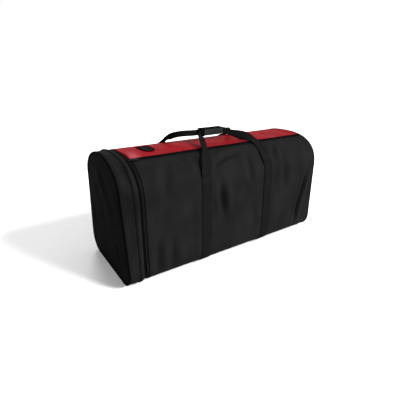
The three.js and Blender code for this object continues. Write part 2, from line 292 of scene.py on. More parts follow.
FOLDS = [
    Fold([(-0.084, 0.430), (-0.081, 0.393), (-0.072, 0.322), (-0.062, 0.248), (-0.060, 0.200)],
         0.015, 0.0140, 0.45),
    Fold([(0.070, 0.520), (0.076, 0.470), (0.074, 0.418), (0.086, 0.340)], 0.015, 0.0080, 0.4),
    Fold([(0.466, 0.400), (0.442, 0.316), (0.422, 0.257), (0.402, 0.190), (0.392, 0.120), (0.391, 0.040)],
         0.010, 0.0135, 0.35),
    Fold([(0.287, 0.500), (0.287, 0.430), (0.289, 0.330), (0.292, 0.270)], 0.016, 0.0065, 0.4),
    Fold([(-0.290, 0.530), (-0.302, 0.500), (-0.330, 0.430), (-0.340, 0.350)], 0.018, 0.0070, 0.4),
    Fold([(-0.366, 0.250), (-0.375, 0.190), (-0.384, 0.110), (-0.388, 0.030)], 0.019, 0.0120, 0.45),
    Fold([(-0.312, 0.240), (-0.315, 0.180), (-0.314, 0.100), (-0.312, 0.030)], 0.017, 0.0100, 0.45),
    Fold([(-0.190, 0.570), (-0.172, 0.520), (-0.168, 0.470), (-0.172, 0.400)], 0.015, 0.0060, 0.4),
    Fold([(-0.112, 0.440), (-0.080, 0.475), (-0.025, 0.496), (0.035, 0.503), (0.076, 0.480)],
         0.012, 0.0090, 0.35),
    Fold([(0.215, 0.430), (0.235, 0.478), (0.262, 0.515), (0.300, 0.530)], 0.012, 0.0045, 0.4),
    Fold([(0.120, 0.110), (0.100, 0.220), (0.092, 0.300)], 0.022, 0.0050, 0.4),
    Fold([(-0.230, 0.120), (-0.215, 0.250), (-0.222, 0.380)], 0.024, 0.0050, 0.4),
    Fold([(0.470, 0.540), (0.455, 0.470), (0.448, 0.420)], 0.012, 0.0045, 0.4),
    Fold([(0.180, 0.640), (0.125, 0.600), (0.075, 0.575)], 0.010, 0.0026, 0.4),
    Fold([(0.330, 0.700), (0.310, 0.640), (0.300, 0.580)], 0.012, 0.0022, 0.4),
    Fold([(-0.220, 0.690), (-0.190, 0.630), (-0.180, 0.575)], 0.014, 0.0018, 0.4),
    Fold([(-0.330, 0.900), (-0.300, 1.000), (-0.310, 1.150)], 0.014, 0.0060, 0.4),
    Fold([(0.020, 0.850), (0.000, 0.960), (0.012, 1.120)], 0.013, 0.0065, 0.4),
    Fold([(0.095, 0.880), (0.085, 1.000), (0.100, 1.060)], 0.012, 0.0045, 0.4),
    Fold([(0.400, 0.830), (0.370, 0.960), (0.360, 1.150), (0.380, 1.290)], 0.012, 0.0060, 0.4),
    Fold([(-0.080, 0.840), (-0.040, 0.822), (0.030, 0.824), (0.100, 0.850)], 0.013, 0.0045, 0.4),
]
LID_SAG = 0.003
BELLY = 0.0025
WALL_HEIGHT = 0.48  # of a side wall, measured along it
END_HOLD = 0.05  # how far from a seam across the end the fabric hangs free, and the same on the lid
PUCKER = 0.0004


def relief(x, distance):
    """How far the fabric stands out of the plain lofted shape at x and at a distance round the bag."""
    from_seam = min(distance, BODY.length - distance)
    ends = smooth(0.0, END_HOLD, x - BODY_LEFT) * smooth(0.0, END_HOLD, BODY_RIGHT - x)
    walls = smooth(0.02, 0.13, from_seam)
    nearest = min(abs(x - centre) for centre in STRAPS)
    beside = smooth(STRAP_WIDTH / 2 - 0.004, STRAP_WIDTH / 2 + 0.030, nearest)
    above = smooth(FRONT_ANCHOR + 0.01, FRONT_ANCHOR + 0.09, from_seam)
    free = 1 - (1 - beside) * (1 - above)
    zip_gap = min(abs(distance - MARK_LINE), abs(distance - MARK_BACK))
    sewn = smooth(0.006, 0.034, zip_gap)
    crease = sum(fold.height(x, distance) for fold in FOLDS)
    slack = waves(x, distance, (0.0035, 7.0, 5.0, 3.1), (0.0013, 24.0, 9.0, 8.7), (0.0005, 70.0, 34.0, 1.7))
    belly = BELLY * math.sin(math.pi * min(from_seam / WALL_HEIGHT, 1.0))
    on_lid = smooth(0.0, END_HOLD, distance - MARK_INNER) * smooth(0.0, END_HOLD, MARK_BACK - distance)
    soft = free * (crease * sewn + slack * (0.3 + 0.7 * sewn) + belly) - LID_SAG * on_lid
    ripple = math.sin(x * 520.0 + waves(x, 0.0, (3.0, 30.0, 0.0, 0.0)))
    pucker = PUCKER * ripple * bell(zip_gap - 0.012, 0.008)
    return ends * walls * soft + ends * pucker


def shell_point(x, distance, out=0.0):
    """A point of the body's fabric, or above it."""
    y, z = BODY.at(distance)
    ny, nz = BODY.normal(distance)
    height = out + relief(x, distance)
    return Vector((x, y + ny * height, z + nz * height))


GUSSET_FOLDS = [
    Fold([(-0.470, 0.420), (-0.462, 0.500), (-0.478, 0.580)], 0.011, 0.0022, 0.4),
    Fold([(-0.482, 0.150), (-0.474, 0.260), (-0.480, 0.340)], 0.010, 0.0016, 0.4),
    Fold([(-0.480, 0.860), (-0.470, 0.960), (-0.480, 1.080)], 0.010, 0.0020, 0.4),
]


def gusset_point(x, share, out=0.0):
    """A point of the end pocket's gusset at a share of the way round it."""
    profile = ring(x)
    distance = share * profile.length
    y, z = profile.at(distance)
    ny, nz = profile.normal(distance)
    held = smooth(GUSSET_LEFT, GUSSET_LEFT + 0.012, x) * smooth(0.0, 0.012, GUSSET_RIGHT - x)
    held *= smooth(0.0, 0.04, min(share, 1 - share))
    slack = 0.0016 + waves(x, share, (0.0014, 16.0, 9.0, 5.5), (0.0005, 60.0, 46.0, 2.5))
    slack += sum(fold.height(x, share * BODY.length) for fold in GUSSET_FOLDS)
    height = out + held * slack
    return Vector((x, y + ny * height, z + nz * height))


# --- Mesh helpers

def new_object(name, mesh, materials):
    data = bpy.data.meshes.new(name)
    mesh.to_mesh(data)
    mesh.free()
    data.polygons.foreach_set("use_smooth", [True] * len(data.polygons))
    for material in materials:
        data.materials.append(material)
    item = bpy.data.objects.new(name, data)
    bpy.context.scene.collection.objects.link(item)
    return item


def cloth_grid(name, cells, place, size, materials):
    """A grid of cloth: place(across, along) takes shares from 0 to 1, and the UV map is in metres."""
    mesh = bmesh.new()
    layer = mesh.loops.layers.uv.new("UVMap")
    bmesh.ops.create_grid(mesh, x_segments=cells[0], y_segments=cells[1], size=0.5)
    for face in mesh.faces:
        for corner in face.loops:
            flat = corner.vert.co
            corner[layer].uv = ((flat.x + 0.5) * size[0], (flat.y + 0.5) * size[1])
    for vertex in mesh.verts:
        vertex.co = place(vertex.co.x + 0.5, vertex.co.y + 0.5)
    return new_object(name, mesh, materials)


def swept(name, frames, section, materials, closed=False):
    """A closed section carried along frames of (centre, across, up, scale)."""
    count = len(section)
    turns = len(frames) if closed else len(frames) - 1
    lengths = [0.0]
    for first, second in zip(frames, frames[1:] + frames[:1]):
        lengths.append(lengths[-1] + (second[0] - first[0]).length)
    girth = [0.0]
    for first, second in zip(section, section[1:] + section[:1]):
        girth.append(girth[-1] + math.dist(first, second))
    mesh = bmesh.new()
    layer = mesh.loops.layers.uv.new("UVMap")
    bmesh.ops.create_grid(mesh, x_segments=count, y_segments=turns, size=0.5)
    for face in mesh.faces:
        for corner in face.loops:
            column = round((corner.vert.co.x + 0.5) * count)
            row = round((corner.vert.co.y + 0.5) * turns)
            corner[layer].uv = (girth[column], lengths[row])
    for vertex in mesh.verts:
        column = round((vertex.co.x + 0.5) * count) % count
        row = round((vertex.co.y + 0.5) * turns) % len(frames)
        centre, across, up, scale = frames[row]
        vertex.co = centre + across * (section[column][0] * scale) + up * (section[column][1] * scale)
    bmesh.ops.remove_doubles(mesh, verts=mesh.verts, dist=SAME)
    if not closed:
        rims = [edge for edge in mesh.edges if edge.is_boundary]
        bmesh.ops.holes_fill(mesh, edges=rims, sides=0)
    bmesh.ops.recalc_face_normals(mesh, faces=mesh.faces)
    return new_object(name, mesh, materials)


def round_section(radius, count=10):
    turn = 2 * math.pi / count
    return [(radius * math.cos(turn * i), radius * math.sin(turn * i)) for i in range(count)]


def webbing_section(width, thick, ridge=0.25):
    """A flat woven strap: rounded edges, and on its outer face a raised rib near each of them."""
    steps = 26
    rib_place = 0.62  # as a share of half the width, as its own width is
    rib_width = 0.16
    upper = []
    lower = []
    for i in range(steps + 1):
        share = math.cos(math.pi * i / steps)
        height = thick / 2 * max(1 - abs(share) ** 10, 0.0) ** 0.5
        upper.append((share * width / 2, height * (1 + ridge * bell(abs(share) - rib_place, rib_width))))
        lower.append((share * width / 2, -height))
    return upper + lower[-2:0:-1]


def thicken(item, thickness, lining=1):
    """Gives a cloth grid its thickness, with its inner face in the lining's material."""
    wall = item.modifiers.new("Thickness", "SOLIDIFY")
    wall.thickness = thickness
    wall.offset = -1
    wall.material_offset = lining
    wall.material_offset_rim = 0


def mounted(item, body, slot, *nodes):
    """Puts a piece on its body and hides the nodes that it stands for; its material slot is not used."""
    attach(item, body)
    if nodes:
        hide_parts(*nodes)


def direction(before, after):
    return (after - before).normalized()


def row_frames(points, ups):
    """Frames along a line of points, with the given outward directions."""
    frames = []
    for i, centre in enumerate(points):
        along = direction(points[max(i - 1, 0)], points[min(i + 1, len(points) - 1)])
        across = along.cross(ups[i]).normalized()
        frames.append((centre, across, across.cross(along), 1.0))
    return frames


def beads(name, places, size, materials, batch=16):
    """Many small rounded pieces of one size: each place is (centre, along, up).

    They are made in small batches, because adding to a large mesh is slow.
    """
    whole = bmesh.new()
    for start in range(0, len(places), batch):
        few = bmesh.new()
        for centre, along, up in places[start:start + batch]:
            across = along.cross(up).normalized()
            raised = across.cross(along)
            turn = Matrix((along * size[0], across * size[1], raised * size[2])).transposed()
            matrix = Matrix.Translation(centre) @ turn.to_4x4()
            bmesh.ops.create_uvsphere(few, u_segments=6, v_segments=4, radius=0.5, matrix=matrix)
        held = bpy.data.meshes.new("batch")
        few.to_mesh(held)
        few.free()
        whole.from_mesh(held)
        bpy.data.meshes.remove(held)
    return new_object(name, whole, materials)


def stitch_places(points, ups, pitch):
    """Evenly spaced places along a line of points, each as (centre, along, up)."""
    places = []
    travelled = 0.0
    due = pitch / 2
    for i in range(len(points) - 1):
        span = (points[i + 1] - points[i]).length
        if span < TINY:
            continue
        along = (points[i + 1] - points[i]) / span
        while due <= travelled + span:
            part = (due - travelled) / span
            up = ups[i].lerp(ups[i + 1], part).normalized()
            places.append((points[i].lerp(points[i + 1], part), along, up))
            due += pitch
        travelled += span
    return places


def spread(first, last, count):
    """Evenly spaced numbers from first to last."""
    return [first + (last - first) * i / (count - 1) for i in range(count)]


def body_row(first, last, distance, out, count=200):
    """A line along X on the body, with its outward directions."""
    xs = spread(first, last, count)
    ny, nz = BODY.normal(distance)
    return [shell_point(x, distance, out) for x in xs], [Vector((0, ny, nz))] * count


def body_arc(x, first, last, out, count=160):
    """A line round the body at one x."""
    marks = spread(first, last, count)
    ups = [Vector((0, *BODY.normal(mark))) for mark in marks]
    return [shell_point(x, mark, out) for mark in marks], ups


def gusset_arc(x, out, first, last, count=220):
    """A line round the gusset at one x."""
    shares = spread(first, last, count)
    profile = ring(x)
    ups = [Vector((0, *profile.normal(share * profile.length))) for share in shares]
    return [gusset_point(x, share, out) for share in shares], ups


# --- Materials

class Value:
    """A number that varies over a surface; arithmetic on it adds Math nodes."""

    def __init__(self, wiring, socket):
        self.wiring = wiring
        self.socket = socket

    def apply(self, operation, *others):
        sockets = dict(enumerate([self, *others]))
        node = self.wiring.node("ShaderNodeMath", {"operation": operation}, sockets)
        return Value(self.wiring, node.outputs[0])

    def reflected(self, operation, other):
        node = self.wiring.node("ShaderNodeMath", {"operation": operation}, {0: other, 1: self})
        return Value(self.wiring, node.outputs[0])

    def __add__(self, other):
        return self.apply("ADD", other)

    def __radd__(self, other):
        return self.reflected("ADD", other)

    def __sub__(self, other):
        return self.apply("SUBTRACT", other)

    def __rsub__(self, other):
        return self.reflected("SUBTRACT", other)

    def __mul__(self, other):
        return self.apply("MULTIPLY", other)

    def __rmul__(self, other):
        return self.reflected("MULTIPLY", other)

    def sine(self):
        return self.apply("SINE")

    def size(self):
        return self.apply("ABSOLUTE")

    def between(self, low, high):
        """0 below low and 1 above high, smooth between them."""
        settings = {"interpolation_type": "SMOOTHSTEP"}
        sockets = {"Value": self, "From Min": low, "From Max": high}
        node = self.wiring.node("ShaderNodeMapRange", settings, sockets)
        return Value(self.wiring, node.outputs["Result"])


class Wiring:
    """One material's node tree."""

    def __init__(self, name, constants):
        self.material = bpy.data.materials.new(name)
        self.material.use_nodes = True
        self.tree = self.material.node_tree
        self.shader = next(n for n in self.tree.nodes if n.type == "BSDF_PRINCIPLED")
        for socket, value in constants.items():
            self.shader.inputs[socket].default_value = value

    def node(self, kind, settings=None, sockets=None):
        made = self.tree.nodes.new(kind)
        for key, value in (settings or {}).items():
            setattr(made, key, value)
        for key, value in (sockets or {}).items():
            self.feed(made.inputs[key], value)
        return made

    def feed(self, socket, value):
        if isinstance(value, Value):
            value = value.socket
        if isinstance(value, bpy.types.NodeSocket):
            self.tree.links.new(value, socket)
        else:
            socket.default_value = value

    def place(self):
        return self.node("ShaderNodeTexCoord").outputs["Object"]

    def uv(self):
        """The piece's own map, in metres, as two values."""
        node = self.node("ShaderNodeUVMap", {"uv_map": "UVMap"})
        parts = self.node("ShaderNodeSeparateXYZ", None, {0: node.outputs[0]})
        return Value(self, parts.outputs["X"]), Value(self, parts.outputs["Y"])

    def noise(self, scale, detail=3.0):
        sockets = {"Vector": self.place(), "Scale": scale, "Detail": detail}
        return Value(self, self.node("ShaderNodeTexNoise", None, sockets).outputs["Fac"])

    def blend(self, share, first, second):
        """A colour between two colours."""
        node = self.tree.nodes.new("ShaderNodeMix")
        node.data_type = "RGBA"
        sockets = [s for s in node.inputs if s.enabled]
        self.feed(sockets[0], share)
        self.feed(sockets[1], first)
        self.feed(sockets[2], second)
        return next(s for s in node.outputs if s.enabled)

    def bump(self, height, depth, strength=1.0, under=None):
        sockets = {"Height": height, "Distance": depth, "Strength": strength}
        if under is not None:
            sockets["Normal"] = under
        return self.node("ShaderNodeBump", None, sockets).outputs["Normal"]

    def slack(self, scale):
        """The uneven lie of cloth, under its weave."""
        return self.bump(self.noise(scale, 3.0), 0.0012, 0.35)

    def finish(self, **links):
        names = {"color": "Base Color", "roughness": "Roughness", "normal": "Normal"}
        for key, value in links.items():
            self.feed(self.shader.inputs[names[key]], value)
        return self.material


def colour(values, share=1.0):
    """A colour for a socket, made lighter or darker."""
    return (values[0] * share, values[1] * share, values[2] * share, 1.0)


def woven(name, tone, pitch, roughness, constants, depth=0.00025, shade=0.16):
    """Plain-woven coated cloth: threads both ways, soft mottling and rubbed high spots."""
    wiring = Wiring(name, constants)
    u, v = wiring.uv()
    turn = 2 * math.pi / pitch
    warp = (u * turn).sine()
    weft = (v * turn).sine()
    weave = warp * weft * 0.5 + 0.5
    mottle = wiring.noise(11.0, 4.0)
    wear_and_highlight = wiring.noise(3.2, 3.0).between(0.52, 0.72)
    fine = wiring.noise(420.0, 2.0)
    dark = colour(tone, 1 - shade)
    light = colour(tone, 1 + shade)
    base = wiring.blend(mottle.between(0.3, 0.7), dark, light)
    threads = wiring.blend(weave * 0.5, base, colour(tone, 0.55))
    worn = wiring.blend(wear_and_highlight * 0.14, threads, colour(tone, 1.6))
    gloss = roughness + mottle * 0.12 - wear_and_highlight * 0.06
    under = wiring.slack(38.0)
    return wiring.finish(
        color=worn, roughness=gloss, normal=wiring.bump(weave + fine * 0.4, depth, 0.8, under))


def webbed(name, tone, constants, width):
    """Ribbed strap webbing: herringbone ribs along it and a tighter edge."""
    wiring = Wiring(name, constants)
    u, v = wiring.uv()
    zigzag = (u * (2 * math.pi / (width / 4))).sine().size() * 0.0016
    ribs = ((v + zigzag) * (2 * math.pi / 0.0021)).sine() * 0.5 + 0.5
    cords = (u * (2 * math.pi / 0.0032)).sine() * 0.5 + 0.5
    mottle = wiring.noise(26.0, 3.0)
    base = wiring.blend(ribs * 0.7, colour(tone, 0.6), colour(tone, 1.35))
    worn = wiring.blend(mottle.between(0.5, 0.8) * 0.35, base, colour(tone, 1.8))
    rough = 0.62 + mottle * 0.2
    return wiring.finish(color=worn, roughness=rough, normal=wiring.bump(ribs + cords * 0.5, 0.0004, 0.9))


def metal(name, tone, constants):
    """Painted zinc worn to bare metal in places."""
    wiring = Wiring(name, constants)
    chips = wiring.noise(190.0, 4.0).between(0.56, 0.66)
    haze = wiring.noise(60.0, 3.0)
    base = wiring.blend(chips * 0.6, colour(tone), colour(tone, 4.0))
    rough = 0.28 + haze * 0.22
    return wiring.finish(color=base, roughness=rough, normal=wiring.bump(chips + haze, 0.0001, 0.5))


def board_finish(name, tone, constants):
    """A stiffening board with a pebbled face."""
    wiring = Wiring(name, constants)
    grain = wiring.noise(240.0, 3.0)
    haze = wiring.noise(14.0, 3.0)
    base = wiring.blend(haze, colour(tone, 0.8), colour(tone, 1.2))
    return wiring.finish(color=base, roughness=0.5 + grain * 0.25, normal=wiring.bump(grain, 0.0003, 0.6))


def lid_finish(name, tone, constants):
    """Glossy coated cloth, with painted highlights near the end pocket and further on, and painted shade
    past its crest.
    """
    wiring = Wiring(name, constants)
    u, v = wiring.uv()
    turn = 2 * math.pi / 0.0017
    weave = (u * turn).sine() * (v * turn).sine() * 0.5 + 0.5
    mottle = wiring.noise(9.0, 4.0)
    base = wiring.blend(mottle.between(0.3, 0.7), colour(tone, 0.92), colour(tone, 1.06))
    # Painted highlight: a paler band of the lid's red near the end pocket stands in for light caught by the
    # cloth there, fading towards the back.
    lean = u - v * 0.20
    sheen = lean.between(-0.006, 0.016) * (1 - lean.between(0.020, 0.058))
    fade = 1 - v.between(0.01, 0.13)
    wear_and_highlight = (0.175, 0.030, 0.037, 1.0)
    lit = wiring.blend(sheen * fade * 0.95, base, wear_and_highlight)
    # A second painted highlight: a narrow pale streak across the lid further along, standing in for light on
    # a fold.
    streak = (u - 0.742 + v * 0.22).size()
    second = (1 - streak.between(0.0, 0.009)) * (1 - v.between(0.05, 0.12)) * 0.55
    both = wiring.blend(second, lit, wear_and_highlight)
    # Painted shade: the lid is darkened past its crest, where it turns away from the light.
    crest = (v - 0.115).between(0.0, 0.10)
    painted_crest_shade = wiring.blend(crest * 0.25, both, colour(tone, 0.5))
    under = wiring.slack(30.0)
    return wiring.finish(
        color=painted_crest_shade, roughness=0.42 + mottle * 0.12, normal=wiring.bump(weave, 0.0002, 0.6, under))


MATERIALS = {}


def finishes(*names):
    return [MATERIALS[name] for name in names]


def refinish(node, finish):
    """Gives a part of the frame that stays in sight its finish."""
    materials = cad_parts[node].data.materials
    materials.clear()
    materials.append(MATERIALS[finish])


def make_materials(tones):
    soft = {"Specular IOR Level": 0.008}
    matt = {"Specular IOR Level": 0.006}
    dull = {"Specular IOR Level": 0.002}
    steel = {"Metallic": 0.1, "Specular IOR Level": 0.06}
    MATERIALS.update({
        "shell": woven("CoatedShellCloth", tones.shell, 0.0018, 0.62, soft),
        "gusset": woven("GussetCloth", tones.shell, 0.0018, 0.60, soft),
        # The end panel's cloth is set darker than the shell's as painted shade.
        "end": woven("ShadedEndPanelCloth", tones.end_panel, 0.0018, 0.66, dull),
        "lid": lid_finish("GlossyLidCloth", tones.lid, soft),
        "lining": woven("LiningCloth", tones.lining, 0.0012, 0.75, matt, 0.0001, 0.15),
        "webbing": webbed("StrapWebbing", tones.webbing, soft, STRAP_WIDTH),
        "binding": woven("BindingTape", tones.binding, 0.0011, 0.7, matt, 0.0002, 0.2),
        "tape": woven("ZipTape", tones.binding, 0.0009, 0.72, matt, 0.0002, 0.2),
        "lid_tape": woven("LidZipTape", tones.webbing, 0.0009, 0.72, matt, 0.0002, 0.2),
        "teeth": metal("ZipCoil", tones.binding, {"Metallic": 0.0, "Specular IOR Level": 0.03}),
        "thread": woven("SewingThread", tones.thread, 0.0008, 0.6, matt, 0.0001, 0.1),
        "grip": woven("GripCloth", tones.grip, 0.0024, 0.62, soft, 0.0004, 0.25),
        "metal": metal("ZipMetal", tones.metal, steel),
        "board": board_finish("BaseBoard", tones.board, {"Specular IOR Level": 0.4}),
    })


# --- User settings

def length_setting(name, description, default):
    return FloatProperty(name=name, description=description, default=default, unit="LENGTH")


def angle_setting(name, description, degrees):
    return FloatProperty(name=name, description=description, default=math.radians(degrees), subtype="ANGLE")


def colour_setting(name, description, default):
    return FloatVectorProperty(name=name, description=description, default=default, subtype="COLOR")


class BagSizes(bpy.types.PropertyGroup):
    wall: length_setting("Fabric", "Thickness of the fabric", 0.002)
    cell: length_setting("Cell", "Size of a cloth grid's cells", 0.0052)
    stitch: length_setting("Stitch", "Pitch of the seams", 0.0048)
    tooth: length_setting("Tooth", "Pitch of the zip coils", 0.0030)
    piping: length_setting("Piping", "Radius of the piped edges", 0.0034)
    webbing: length_setting("Webbing", "Thickness of the webbing", 0.0026)
    crown: length_setting("Crown", "Bulge of the end panels", 0.006)


class BagColours(bpy.types.PropertyGroup):
    shell: colour_setting("Shell", "Coated shell cloth", (0.0060, 0.0060, 0.0061))
    # Darker than the shell cloth: painted shade for the end pocket's panel, which faces away from the key
    # light.
    end_panel: colour_setting("End panel", "Cloth of the end pocket's panel", (0.0046, 0.0046, 0.0047))
    lid: colour_setting("Lid", "Glossy lid cloth", (0.118, 0.0026, 0.0048))
    lining: colour_setting("Lining", "Lining cloth", (0.045, 0.047, 0.052))
    webbing: colour_setting("Webbing", "Straps, handles and the lid's zip tapes", (0.0044, 0.0044, 0.0045))
    binding: colour_setting("Binding", "Piping, bindings and the end pocket's zip", (0.0010, 0.0010, 0.0011))
    thread: colour_setting("Thread", "Sewing thread", (0.0078, 0.0078, 0.0080))
    grip: colour_setting("Grip", "Padded grip", (0.0115, 0.0116, 0.0118))
    metal: colour_setting("Metal", "Zip sliders and pullers", (0.0022, 0.0022, 0.0024))
    board: colour_setting("Board", "Stiffening board", (0.05, 0.052, 0.056))


class StageSettings(bpy.types.PropertyGroup):
    lens: FloatProperty(name="Lens", description="Focal length", default=29.22, unit="CAMERA")
    turn: angle_setting("Turn", "Camera azimuth", -33.94)
    tilt: angle_setting("Tilt", "Camera elevation", 21.71)
    distance: length_setting("Distance", "Camera to target", 1.5446)
    target: FloatVectorProperty(
        name="Target", description="Point looked at", subtype="XYZ", default=(-0.0422, 0.0, 0.2037))
    key: FloatProperty(name="Key light", description="Power of the main light", default=9.8)
    fill: FloatProperty(name="Fill light", description="Power of the light from behind", default=2.6)
    sky: FloatProperty(name="Sky", description="Brightness of the surroundings", default=1.0)


# --- Operators

class BAG_OT_materials(bpy.types.Operator):
    """Make every finish"""
    bl_idname = "bag.materials"
    bl_label = "Finishes"

    def execute(self, context):
        make_materials(context.scene.bag_colours)
        return {"FINISHED"}


class BAG_OT_shell(bpy.types.Operator):
    """Make the front, back and bottom of the main compartment"""
    bl_idname = "bag.shell"
    bl_label = "Shell"

    def execute(self, context):
        sizes = context.scene.bag_sizes
        length = BODY_RIGHT - BODY_LEFT
        for name, node, first, last in (
            ("front_shell", "front_panel", 0.0, MARK_OUTER),
            ("back_shell", "back_panel", MARK_BACK, BODY.length),
        ):
            height = last - first
            cells = (round(length / sizes.cell), round(height / sizes.cell))

            def place(across, along):
                return shell_point(BODY_LEFT + across * length, first + along * height)

            cloth = cloth_grid(name, cells, place, (length, height), finishes("shell", "lining"))
            thicken(cloth, sizes.wall)
            mounted(cloth, "bag", "shell_fabric", node)
        self.bottom(sizes)
        return {"FINISHED"}

    def bottom(self, sizes):
        low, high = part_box("bottom_panel")
        width = high.y - low.y
        length = high.x - low.x

        def place(across, along):
            x = low.x + across * length
            y = high.y - along * width
            rise = 0.0006 + waves(x, y, (0.0006, 9.0, 9.0, 4.0))
            return Vector((x, y, low.z + rise))

        cells = (round(length / 0.012), round(width / 0.012))
        cloth = cloth_grid("bottom_shell", cells, place, (length, width), finishes("shell", "lining"))
        thicken(cloth, sizes.wall)
        mounted(cloth, "bag", "shell_fabric", "bottom_panel")


DISC_MIDDLE = 0.25  # height of the point that an end panel's rings of cells close in on


def end_disc(name, x, facing, outline, crown, folds, materials, cells=(150, 42)):
    """A panel inside a closed outline that bulges outwards along X."""
    count = cells[0]
    places = [outline.at(outline.length * i / count) for i in range(count)]
    mesh = bmesh.new()
    layer = mesh.loops.layers.uv.new("UVMap")
    bmesh.ops.create_grid(mesh, x_segments=count, y_segments=cells[1], size=0.5)
    for vertex in mesh.verts:
        column = round((vertex.co.x + 0.5) * count) % count
        share = vertex.co.y + 0.5
        y = places[column][0] * share
        z = DISC_MIDDLE + (places[column][1] - DISC_MIDDLE) * share
        dome = crown * (1 - share ** 4) + crown * 0.35 * (1 - share ** 2)
        slack = waves(y, z, (0.003, 8.0, 8.0, x), (0.0012, 26.0, 20.0, x + 3.0))
        crease = sum(fold.height(y, z) for fold in folds)
        rise = dome + (slack + crease) * smooth(0.0, 0.14, 1 - share)
        vertex.co = Vector((x + facing * rise, y, z))
    bmesh.ops.remove_doubles(mesh, verts=mesh.verts, dist=SAME)
    bmesh.ops.recalc_face_normals(mesh, faces=mesh.faces)
    outward = sum((face.normal.x * face.calc_area() for face in mesh.faces), 0.0)
    if outward * facing < 0:
        bmesh.ops.reverse_faces(mesh, faces=mesh.faces)
    for face in mesh.faces:
        for corner in face.loops:
            corner[layer].uv = (corner.vert.co.y, corner.vert.co.z)
    return new_object(name, mesh, materials)


# The paths of these folds hold (y, z) points.
END_FOLDS = [
    Fold([(0.020, 0.460), (-0.045, 0.390), (-0.105, 0.310), (-0.135, 0.225)], 0.018, 0.0046, 0.4),
    Fold([(0.085, 0.400), (0.030, 0.330), (-0.020, 0.230), (-0.045, 0.140)], 0.022, 0.0036, 0.4),
    Fold([(-0.148, 0.420), (-0.170, 0.370), (-0.176, 0.300)], 0.013, 0.0036, 0.4),
    Fold([(0.150, 0.300), (0.120, 0.200), (0.100, 0.110)], 0.020, 0.0030, 0.4),
    Fold([(-0.110, 0.200), (-0.130, 0.130), (-0.120, 0.060)], 0.015, 0.0032, 0.4),
]
RIGHT_FOLDS = [
    Fold([(0.020, 0.440), (0.060, 0.350), (0.110, 0.250), (0.130, 0.150)], 0.014, 0.0060, 0.35),
    Fold([(-0.090, 0.400), (-0.060, 0.300), (-0.050, 0.180)], 0.015, 0.0050, 0.35),
    Fold([(-0.140, 0.200), (-0.120, 0.110), (-0.125, 0.050)], 0.013, 0.0040, 0.4),
]


def cut_size(outline):
    """The width and height of a panel cut to an outline, and its area."""
    ys = [p[0] for p in outline.points]
    zs = [p[1] for p in outline.points]
    width = max(ys) - min(ys)
    height = max(zs) - min(zs)
    area = 0.0
    for first, second in zip(outline.points, outline.points[1:]):
        area += (first[0] * second[1] - second[0] * first[1]) / 2
    return (width, height), abs(area)


class BAG_OT_ends(bpy.types.Operator):
    """Make the right end, the divider and the board of the main compartment"""
    bl_idname = "bag.ends"
    bl_label = "Ends"

    def execute(self, context):
        sizes = context.scene.bag_sizes
        edge = loop(BODY_SHAPE, 0.003)
        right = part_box("right_end_panel")[1].x
        panel = end_disc(
            "right_end", right - 0.001, 1, edge, sizes.crown, RIGHT_FOLDS,
            finishes("shell", "lining"))
        thicken(panel, sizes.wall)
        mounted(panel, "bag", "shell_fabric", "right_end_panel")
        flat, area = cut_size(edge)
        frames = loop_frames(loop(BODY_SHAPE, 0.0015), RIGHT_END - 0.0030)
        cord = swept("right_edge_piping", frames, round_section(sizes.piping), finishes("binding"), True)
        mounted(cord, "bag", "piping", "right_piping")
        inside = loop(BODY_SHAPE, 0.0036)
        wall = end_disc(
            "divider", BODY_LEFT + 0.0005, 1, inside, 0.0012, [], finishes("lining", "lining"),
            (120, 24))
        thicken(wall, sizes.wall, 0)
        mounted(wall, "bag", "lining", "divider_panel")
        flat, area = cut_size(inside)
        refinish("base_board", "board")
        return {"FINISHED"}


def loop_frames(outline, x, count=280):
    """Frames round a closed outline, for a cord that lies along it."""
    frames = []
    for i in range(count):
        distance = outline.length * i / count
        y, z = outline.at(distance)
        ny, nz = outline.normal(distance)
        frames.append((Vector((x, y, z)), Vector((1, 0, 0)), Vector((0, ny, nz)), 1.0))
    return frames


